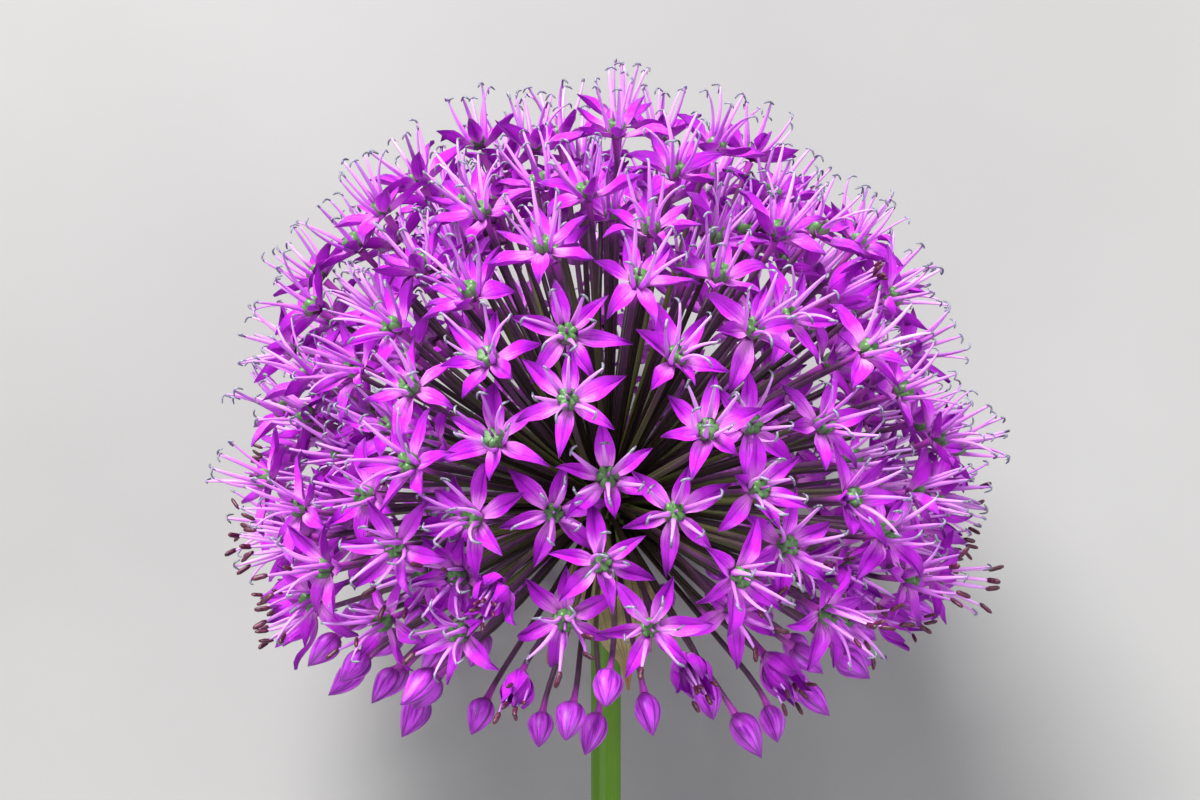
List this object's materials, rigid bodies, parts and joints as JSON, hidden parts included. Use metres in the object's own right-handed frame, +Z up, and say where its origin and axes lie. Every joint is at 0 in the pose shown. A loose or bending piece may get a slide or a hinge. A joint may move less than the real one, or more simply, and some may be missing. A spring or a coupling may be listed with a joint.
{
  "type": "allium flower head",
  "caption": "Cut ornamental onion flower head lying on a surface: a ball of purple star-shaped florets, with buds round its lower rim, on a short green stem.",
  "frame": {"origin": "middle of the footprint, on the surface that the cut flower lies on", "axes": "+Z up from the surface; +Y along the stem's run from its cut end towards the head, which rises towards the head; +X to the right seen from above with the head away from the viewer"},
  "size_m": [0.1076, 0.1562, 0.0989],
  "materials": {
    "floret_purple": "satin living petals, magenta-purple, paler along the middle",
    "stem_green": "smooth waxy plant stem, olive green",
    "spathe_tan": "dry papery bract, tan with olive, slightly translucent"
  },
  "bodies": {
    "root": {"cyme_01": "floret_purple", "cyme_02": "floret_purple", "cyme_03": "floret_purple", "cyme_04": "floret_purple", "cyme_05": "floret_purple", "cyme_06": "floret_purple", "cyme_07": "floret_purple", "cyme_08": "floret_purple", "cyme_09": "floret_purple", "cyme_10": "floret_purple", "cyme_11": "floret_purple", "cyme_12": "floret_purple", "cyme_13": "floret_purple", "cyme_14": "floret_purple", "cyme_15": "floret_purple", "cyme_16": "floret_purple", "cyme_17": "floret_purple", "cyme_18": "floret_purple", "cyme_19": "floret_purple", "cyme_20": "floret_purple", "cyme_21": "floret_purple", "cyme_22": "floret_purple", "cyme_23": "floret_purple", "cyme_24": "floret_purple", "cyme_25": "floret_purple", "cyme_26": "floret_purple", "cyme_27": "floret_purple", "cyme_28": "floret_purple", "cyme_29": "floret_purple", "cyme_30": "floret_purple", "cyme_31": "floret_purple", "cyme_32": "floret_purple", "cyme_33": "floret_purple", "cyme_34": "floret_purple", "cyme_35": "floret_purple", "cyme_36": "floret_purple", "cyme_37": "floret_purple", "cyme_38": "floret_purple", "cyme_39": "floret_purple", "cyme_40": "floret_purple", "cyme_41": "floret_purple", "cyme_42": "floret_purple", "cyme_43": "floret_purple", "cyme_44": "floret_purple", "cyme_45": "floret_purple", "cyme_46": "floret_purple", "cyme_47": "floret_purple", "cyme_48": "floret_purple", "cyme_49": "floret_purple", "cyme_50": "floret_purple", "cyme_51": "floret_purple", "cyme_52": "floret_purple", "cyme_53": "floret_purple", "cyme_54": "floret_purple", "scape": "stem_green", "spathe_valve_1": "spathe_tan", "spathe_valve_2": "spathe_tan", "spathe_valve_3": "spathe_tan"}
  },
  "joints": []
}
